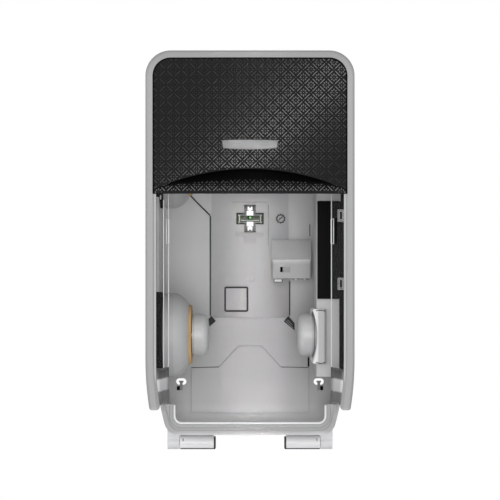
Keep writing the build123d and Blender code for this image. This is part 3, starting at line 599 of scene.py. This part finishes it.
# painted shade: a dark bead in the seam round the plate, up one side, along the top and down the
# other
seam_side, seam_foot, seam_top, seam_corner, seam_depth = 84.3, 49.4, 167.0, 15.2, 179.45
left_half = [(-seam_side, seam_foot)]
for step in range(13):
    turn = math.pi * (1 - step / 24)
    left_half.append((seam_corner - seam_side + seam_corner * math.cos(turn),
                      seam_top - seam_corner + seam_corner * math.sin(turn)))
left_half += [(x, seam_top) for x in range(-60, 0, 10)]
seam = [(x, seam_depth + math.sqrt((crown * 1000) ** 2 - x * x) - crown * 1000, z)
        for x, z in left_half + [(0, seam_top)] + [(-x, z) for x, z in reversed(left_half)]]
wire("face_seam", [seam], 0.55, shadow_black, "cover")

face_sizes = {
    "Pitch": 0.0133,                # from one diamond to the next, both ways
    "Rosette Row": 0.1038,          # height of one row of rosettes
    "Rib Share": 0.34,              # of the way from a rib's middle to each crossing
    "Rib Radius": 0.0004,
    "Half Width": face_high.x,
    "Top": face_high.z,
    "Foot": face_low.z + 0.0002,
    "Corner": 0.0156,
    "Arch Radius": 0.2047,          # the upper edge of the finger scoop
    "Arch Middle": -0.1340,
    "Crown": crown,
    "Front": -face_low.y,           # the face's depth at mid width
    "Ramp Foot": face_low.z - 0.0007,
    "Ramp Slope": 11.4 / 25.2,
    "Relief Radius": 0.4340,        # the ramp's relief stops at this flatter arc
    "Relief Middle": -0.3722,
}


def calc(tree, operation, first, second=0.0):
    """One step of arithmetic in a node tree, from sockets or plain numbers."""
    step = node(tree, "ShaderNodeMath", operation=operation)
    for spot, value in enumerate((first, second)):
        if isinstance(value, bpy.types.NodeSocket):
            tree.links.new(value, step.inputs[spot])
        else:
            step.inputs[spot].default_value = value
    return step.outputs[0]


def length_squared(tree, first, second):
    """The square of the distance that two steps at right angles make."""
    return calc(tree, "ADD", calc(tree, "MULTIPLY", first, first),
                calc(tree, "MULTIPLY", second, second))


def position(tree):
    """The X, Y and Z of each point, by name."""
    place = node(tree, "ShaderNodeSeparateXYZ")
    tree.links.new(node(tree, "GeometryNodeInputPosition").outputs[0], place.inputs[0])
    return place.outputs


def vector(tree, **parts):
    """A vector from sockets given by axis, 0 along any axis left out."""
    made = node(tree, "ShaderNodeCombineXYZ")
    for axis, value in parts.items():
        tree.links.new(value, made.inputs[axis])
    return made.outputs[0]


def shape_tree(name, sizes):
    """A geometry tree with one named number for each size, and a material."""
    tree = bpy.data.node_groups.new(name, "GeometryNodeTree")
    tree.interface.new_socket("Geometry", in_out="OUTPUT", socket_type="NodeSocketGeometry")
    for size, value in sizes.items():
        socket = tree.interface.new_socket(size, in_out="INPUT", socket_type="NodeSocketFloat")
        socket.default_value = value
    tree.interface.new_socket("Finish", in_out="INPUT", socket_type="NodeSocketMaterial")
    return tree, node(tree, "NodeGroupInput").outputs


def close_tree(tree, given, geometry):
    """Makes instances real, gives them the finish and ends the tree."""
    real = node(tree, "GeometryNodeRealizeInstances")
    finish = node(tree, "GeometryNodeSetMaterial")
    out = node(tree, "NodeGroupOutput")
    tree.links.new(geometry, real.inputs[0])
    tree.links.new(real.outputs[0], finish.inputs["Geometry"])
    tree.links.new(given["Finish"], finish.inputs["Material"])
    tree.links.new(finish.outputs[0], out.inputs[0])


def grow(name, tree, sizes, finish, body):
    """Runs a geometry tree with these sizes, and keeps its result as a plain mesh."""
    seed = bpy.data.objects.new(name + "_seed", bpy.data.meshes.new(name + "_seed"))
    scene.collection.objects.link(seed)
    run = seed.modifiers.new("run", "NODES")
    run.node_group = tree
    for item in tree.interface.items_tree:
        if item.in_out == "INPUT":
            run[item.identifier] = finish if item.name == "Finish" else sizes[item.name]
    ready = seed.evaluated_get(bpy.context.evaluated_depsgraph_get())
    piece = bpy.data.objects.new(name, bpy.data.meshes.new_from_object(ready))
    scene.collection.objects.link(piece)
    bpy.data.objects.remove(seed)
    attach(piece, body)


def outside_face(tree, given, margin, on_ramp):
    """True where a point is off the face, or off the scoop's ramp, by the margin."""
    place = position(tree)
    x, z = place["X"], place["Z"]
    side = calc(tree, "SUBTRACT", given["Half Width"], given["Corner"])
    across = calc(tree, "MAXIMUM", calc(tree, "SUBTRACT", calc(tree, "ABSOLUTE", x), side), 0.0)
    crest = calc(tree, "SUBTRACT", given["Top"], given["Corner"])
    above = calc(tree, "MAXIMUM", calc(tree, "SUBTRACT", z, crest), 0.0)
    room = calc(tree, "SUBTRACT", given["Corner"], margin)
    off = calc(tree, "GREATER_THAN", length_squared(tree, across, above),
               calc(tree, "MULTIPLY", room, room))
    rise = calc(tree, "SUBTRACT", z, given["Arch Middle"])
    spread = calc(tree, "SQRT", length_squared(tree, x, rise))
    if on_ramp:
        inner_arch = calc(tree, "SUBTRACT", given["Arch Radius"], margin)
        over = calc(tree, "GREATER_THAN", spread, inner_arch)
        climb = calc(tree, "SUBTRACT", z, given["Relief Middle"])
        edge = calc(tree, "MULTIPLY", given["Relief Radius"], given["Relief Radius"])
        past_relief = calc(tree, "GREATER_THAN", length_squared(tree, x, climb), edge)
        under = calc(tree, "LESS_THAN", z, calc(tree, "ADD", given["Foot"], margin))
        over = calc(tree, "MAXIMUM", calc(tree, "MAXIMUM", over, past_relief), under)
    else:
        over = calc(tree, "LESS_THAN", spread, calc(tree, "ADD", given["Arch Radius"], margin))
    return calc(tree, "MAXIMUM", off, over)


def lay_on_face(tree, given, geometry, on_ramp):
    """Moves flat relief on to the bowed face, or on to the scoop's sloping ramp."""
    place = position(tree)
    if on_ramp:
        ramp_set_back = 0.0016
        up = calc(tree, "SUBTRACT", place["Z"], given["Ramp Foot"])
        back = calc(tree, "ADD", calc(tree, "MULTIPLY", up, given["Ramp Slope"]), ramp_set_back)
    else:
        x, bow = place["X"], given["Crown"]
        square = calc(tree, "SUBTRACT", calc(tree, "MULTIPLY", bow, bow),
                      calc(tree, "MULTIPLY", x, x))
        back = calc(tree, "SUBTRACT", bow, calc(tree, "SQRT", square))
    move = node(tree, "GeometryNodeSetPosition")
    tree.links.new(geometry, move.inputs["Geometry"])
    shift = vector(tree, Y=calc(tree, "SUBTRACT", back, given["Front"]))
    tree.links.new(shift, move.inputs["Offset"])
    return move.outputs[0]


def rib_tree(name, on_ramp):
    """Diagonal ribs both ways, open at each crossing and cut off at the edge."""
    tree, given = shape_tree(name, face_sizes)
    joined = node(tree, "GeometryNodeJoinGeometry")
    count, length, rows_below = 27, 0.20, 5.0   # of the long diagonals that are cut into ribs
    cut_step, margin = 0.0004, 0.0006
    points_per_rib, rib_sides = 3, 6
    for lean in (1, -1):
        starts = node(tree, "GeometryNodeMeshLine", mode="OFFSET", Count=count)
        half_run = calc(tree, "MULTIPLY", given["Pitch"], (count // 2) + 0.5)
        below = calc(tree, "MULTIPLY", given["Pitch"], -rows_below)
        first_x = calc(tree, "SUBTRACT", calc(tree, "MULTIPLY", below, lean), half_run)
        first_z = calc(tree, "ADD", given["Rosette Row"], below)
        tree.links.new(vector(tree, X=given["Pitch"]), starts.inputs["Offset"])
        tree.links.new(vector(tree, X=first_x, Z=first_z), starts.inputs["Start Location"])
        line = node(tree, "GeometryNodeCurvePrimitiveLine", Start=(0, 0, 0),
                    End=(lean * length, 0, length))
        fine = node(tree, "GeometryNodeResampleCurve", mode="LENGTH", Length=cut_step)
        rows = node(tree, "GeometryNodeInstanceOnPoints")
        tree.links.new(line.outputs[0], fine.inputs["Curve"])
        tree.links.new(starts.outputs[0], rows.inputs["Points"])
        tree.links.new(fine.outputs[0], rows.inputs["Instance"])
        tree.links.new(rows.outputs[0], joined.inputs[0])
    place = position(tree)
    rise = calc(tree, "SUBTRACT", place["Z"], given["Rosette Row"])
    offs = []
    for way in ("ADD", "SUBTRACT"):
        along = calc(tree, "DIVIDE", calc(tree, way, place["X"], rise), given["Pitch"])
        from_middle = calc(tree, "SUBTRACT", along, calc(tree, "ROUND", along))
        offs.append(calc(tree, "ABSOLUTE", from_middle))
    crossing = calc(tree, "GREATER_THAN", calc(tree, "MINIMUM", *offs), given["Rib Share"])
    outside = outside_face(tree, given, margin, on_ramp)
    real = node(tree, "GeometryNodeRealizeInstances")
    strands = node(tree, "GeometryNodeCurveToMesh")
    trim = node(tree, "GeometryNodeDeleteGeometry")
    pieces = node(tree, "GeometryNodeMeshToCurve")
    coarse = node(tree, "GeometryNodeResampleCurve", mode="COUNT", Count=points_per_rib)
    bead = node(tree, "GeometryNodeCurvePrimitiveCircle", Resolution=rib_sides)
    solid = node(tree, "GeometryNodeCurveToMesh", **{"Fill Caps": True})
    tree.links.new(joined.outputs[0], real.inputs[0])
    tree.links.new(real.outputs[0], strands.inputs["Curve"])
    tree.links.new(strands.outputs[0], trim.inputs["Geometry"])
    tree.links.new(calc(tree, "MAXIMUM", outside, crossing), trim.inputs["Selection"])
    tree.links.new(trim.outputs[0], pieces.inputs["Mesh"])
    tree.links.new(pieces.outputs[0], coarse.inputs["Curve"])
    tree.links.new(given["Rib Radius"], bead.inputs["Radius"])
    tree.links.new(coarse.outputs[0], solid.inputs["Curve"])
    tree.links.new(bead.outputs[0], solid.inputs["Profile Curve"])
    close_tree(tree, given, lay_on_face(tree, given, solid.outputs[0], on_ramp))
    return tree


def stud(tree, radius, depth, sides, stretch=1.0, turn=0.0):
    """A low pyramid facing forwards, stretched along its own X and turned."""
    cone = node(tree, "GeometryNodeMeshCone", **{
        "Vertices": sides, "Radius Top": radius * 0.25, "Radius Bottom": radius, "Depth": depth})
    face = node(tree, "GeometryNodeTransform", Rotation=(math.radians(90), 0, 0),
                Scale=(stretch, 1, 1))
    spin = node(tree, "GeometryNodeTransform", Rotation=(0, turn, 0))
    tree.links.new(cone.outputs[0], face.inputs[0])
    tree.links.new(face.outputs[0], spin.inputs[0])
    return spin.outputs[0]


def rosette_tree(name, on_ramp):
    """A rosette in each diamond and a stud at each crossing, less what is off the face."""
    tree, given = shape_tree(name, face_sizes)
    diamonds, crossings = ((0, 0), (0.5, 0.5)), ((0.5, 0), (0, 0.5))    # in pitches
    columns, rows = 14, 12
    stud_margin, petal_margin = 0.0008, 0.0012
    shapes = [(stud(tree, 0.0005, 0.0006, 8), 0.0, 0.0, stud_margin, diamonds),
              (stud(tree, 0.0006, 0.0006, 4), 0.0, 0.0, stud_margin, crossings)]
    for petal in range(8):
        turn = petal * math.pi / 4
        out, stretch = (0.0026, 1.75) if petal % 2 == 0 else (0.0024, 1.5)
        shape = stud(tree, 0.00072, 0.00068, 4, stretch=stretch, turn=turn)
        shapes.append((shape, out * math.cos(turn), -out * math.sin(turn), petal_margin, diamonds))
    joined = node(tree, "GeometryNodeJoinGeometry")
    for shape, right, rise, margin, offsets in shapes:
        for along, up in offsets:
            grid = node(tree, "GeometryNodeMeshGrid", **{
                "Vertices X": columns + 1, "Vertices Y": rows + 1})
            tree.links.new(calc(tree, "MULTIPLY", given["Pitch"], columns), grid.inputs["Size X"])
            tree.links.new(calc(tree, "MULTIPLY", given["Pitch"], rows), grid.inputs["Size Y"])
            x = calc(tree, "ADD", calc(tree, "MULTIPLY", given["Pitch"], along), right)
            z = calc(tree, "ADD", given["Rosette Row"], calc(tree, "MULTIPLY", given["Pitch"], up))
            spot = vector(tree, X=x, Z=calc(tree, "ADD", z, rise))
            stand = node(tree, "GeometryNodeTransform", Rotation=(math.radians(90), 0, 0))
            tree.links.new(grid.outputs[0], stand.inputs[0])
            tree.links.new(spot, stand.inputs["Translation"])
            keep = node(tree, "GeometryNodeDeleteGeometry")
            tree.links.new(stand.outputs[0], keep.inputs["Geometry"])
            tree.links.new(outside_face(tree, given, margin, on_ramp), keep.inputs["Selection"])
            spread = node(tree, "GeometryNodeInstanceOnPoints")
            tree.links.new(keep.outputs[0], spread.inputs["Points"])
            tree.links.new(shape, spread.inputs["Instance"])
            tree.links.new(spread.outputs[0], joined.inputs[0])
    real = node(tree, "GeometryNodeRealizeInstances")
    tree.links.new(joined.outputs[0], real.inputs[0])
    close_tree(tree, given, lay_on_face(tree, given, real.outputs[0], on_ramp))
    return tree


for where, on_ramp, finish in (("face", False, rib_black), ("scoop", True, scoop_black)):
    grow(where + "_ribs", rib_tree(where + "_rib_tree", on_ramp), face_sizes, finish,
         "cover")
    grow(where + "_rosettes", rosette_tree(where + "_rosette_tree", on_ramp), face_sizes,
         finish, "cover")

# ---- name plate -----------------------------------------------------------------
# A bare satin grey plate, bowed along its foot, set in a shallow pocket of the face just
# above the scoop.
dress(plastic("label_satin", grey(93), roughness=0.34, grain=0.00001), "name_plate")

# ---- clear guards ---------------------------------------------------------------
# Clear smoke strips snapped inside the surround's two sides, with painted highlights along
# their edges and a cuff over the foot of each, and two clear clips on the right.
def clear_plastic(name, colour, cover):
    """A thin clear moulding that hides only a share of what is behind it."""
    clear = bpy.data.materials.new(name)
    clear.use_nodes = True
    tree = clear.node_tree
    shader = tree.nodes["Principled BSDF"]
    shader.inputs["Base Color"].default_value = (*colour, 1)
    shader.inputs["Roughness"].default_value = 0.1
    shader.inputs["Alpha"].default_value = cover
    place = node(tree, "ShaderNodeTexCoord")
    drawn = node(tree, "ShaderNodeTexNoise", Scale=60.0, Detail=2.0)
    tree.links.new(place.outputs["Object"], drawn.inputs["Vector"])
    bump = node(tree, "ShaderNodeBump", Strength=0.08, Distance=0.0001)
    tree.links.new(drawn.outputs["Fac"], bump.inputs["Height"])
    tree.links.new(bump.outputs["Normal"], shader.inputs["Normal"])
    return clear


dress(clear_plastic("guard_smoke", (0.40, 0.40, 0.41), 0.035), "left_guard", "right_guard")
dress(clear_plastic("clip_clear", (0.5, 0.5, 0.5), 0.14), "snap_clips")
# painted highlight: a near-white plastic for the beads along the guards' edges
guard_edge_glint = plastic("guard_edge_glint_paint", grey(238), roughness=0.12, grain=0.0, mottle=0.0)

# painted highlights: light beads on the guards' inner edges, the left guard's outer one and the
# frame of a slot in each guard, and a glint near the top
beads, slot_edges, rims = [], [], []
for side in (-1, 1):
    beads.append([(side * 72.4, 147.4, z) for z in (-124.0, 60.0)])
    if side < 0:
        beads.append([(side * 76.2, 158.6, z) for z in (-118.0, 44.0)])
    slot_edges.append([(side * 72.3, 147.9, z) for z in (5.6, 27.6)])
    rims.append([(side * x, depth, z) for x, depth, z in (
        (72.2, 147.6, 5.6), (72.2, 147.6, 27.6), (74.1, 152.6, 27.6), (74.1, 152.6, 5.6))])
wire("guard_beads", beads, 0.46, guard_edge_glint, "cover")
wire("slot_edges", slot_edges, 0.7, guard_edge_glint, "cover")
wire("guard_rims", rims, 0.45, guard_edge_glint, "cover", closed=True)
wire("top_glint", [[(-79.3, 152.0, 48.6), (-79.3, 152.0, 44.8)]], 0.6, guard_edge_glint, "cover")

# painted highlights: an outer and an inner light outline round each clip
clip_outlines = ([(76.6, 5.0), (81.4, 5.0), (81.4, -5.0), (76.6, -5.0)],
                 [(78.0, 3.6), (80.4, 3.6), (80.4, -3.6), (78.0, -3.6)])
clip_rims = [[(x, 178.5, middle + rise) for x, rise in outline]
             for middle in (30.0, -29.4) for outline in clip_outlines]
clip_edge_glint = plastic("clip_edge_glint", grey(176), roughness=0.2, grain=0.0)
wire("clip_rims", clip_rims, 0.26, clip_edge_glint, "cover", closed=True)


def guard_cuff(name, side, material):
    """A sheet over the guard's foot that swells forwards and curls under at its end."""
    rows = [(-104.0, 0.2), (-108.0, 0.9), (-113.0, 1.6), (-118.5, 1.9), (-124.0, 1.6), (-130.0, 0.6),
            (-134.0, -1.2), (-135.6, -3.4)]         # height, and how far it swells forwards
    outer_x, inner_x, outer_depth, inner_depth = 82.0, 72.4, 174.6, 147.2
    taper_top = -96.0
    shape = bmesh.new()
    grid = []
    for z, swell in rows:
        line = []
        for share in (0.0, 0.25, 0.5, 0.75, 1.0):
            taper = 0.9 * (taper_top - z) ** 2 / 530.0 * (1 - share)    # draws the outer edge in
            x = outer_x + (inner_x - outer_x) * share - taper
            depth = outer_depth + (inner_depth - outer_depth) * share + swell
            line.append(shape.verts.new(mm(side * x, depth, z)))
        grid.append(line)
    for upper, lower in zip(grid, grid[1:]):
        for spot in range(len(upper) - 1):
            corners = [upper[spot], upper[spot + 1], lower[spot + 1], lower[spot]]
            shape.faces.new(corners if side < 0 else corners[::-1])
    sheet = mesh_of(name + "_sheet", shape)
    for face in sheet.data.polygons:
        face.use_smooth = True
    sheet.modifiers.new("wall", "SOLIDIFY").thickness = 0.0006
    settle(name, sheet, material, "cover")


# painted highlight and shade: the cuff is painted with a light band across its curl, darker above
# and below
cuff_painted_sheen = [(-136, 100), (-125, 118), (-123.6, 215), (-114.5, 225), (-112.8, 110), (-104, 70)]
cuff_plastic = plastic("cuff_plastic", grey(128), roughness=0.25, grain=0.0)
painted_light_bands(cuff_plastic, cuff_painted_sheen, 0.006)
guard_cuff("left_cuff", -1, cuff_plastic)
guard_cuff("right_cuff", 1, cuff_plastic)

# ---- key lock -------------------------------------------------------------------
# A cam lock in the top wall: a plated barrel with its nut, the plug and cam that turn
# in it, and a folded steel keeper on the back plate.
dress(steel, "lock_body", "lock_nut", "lock_plug", "lock_cam", "lock_keeper")
